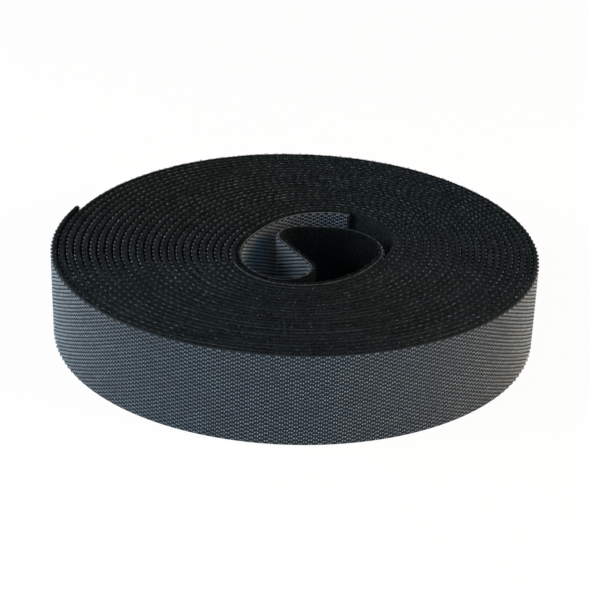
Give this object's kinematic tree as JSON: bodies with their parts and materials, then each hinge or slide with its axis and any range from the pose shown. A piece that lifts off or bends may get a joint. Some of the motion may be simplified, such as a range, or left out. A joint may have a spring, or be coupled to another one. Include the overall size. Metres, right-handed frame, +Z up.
{
  "type": "hook and loop tape roll",
  "caption": "Coreless roll of flat tape with a hook side and a napped loop side, for bundling cables and fastening goods.",
  "frame": {"origin": "middle of the roll's footprint, on the surface that it lies on", "axes": "+Z up along the winding's axis, +X to the right and +Y away from the viewer in the picture"},
  "size_m": [0.1052, 0.1022, 0.02],
  "materials": {
    "hook_weave": "dark nylon with small stiff hooks",
    "loop_nap": "black napped nylon pile"
  },
  "bodies": {
    "roll": {"hook_tape_winding": "hook_weave", "loop_tape_winding": "loop_nap"},
    "outer_end": {"hook_tape_outer_end": "hook_weave", "loop_tape_outer_end": "loop_nap"},
    "inner_end": {"hook_tape_inner_end": "hook_weave", "loop_tape_inner_end": "loop_nap"}
  },
  "joints": [
    {"name": "outer_end_peel", "type": "hinge", "parent": "roll", "child": "outer_end", "pos_m": [-0.04444, -0.02805, 0.01], "axis": [0, 0, 1], "range_deg": [0, 90]},
    {"name": "inner_end_swing", "type": "hinge", "parent": "roll", "child": "inner_end", "pos_m": [-0.00381, 0.01125, 0.01], "axis": [0, 0, -1], "range_deg": [0, 22]}
  ]
}
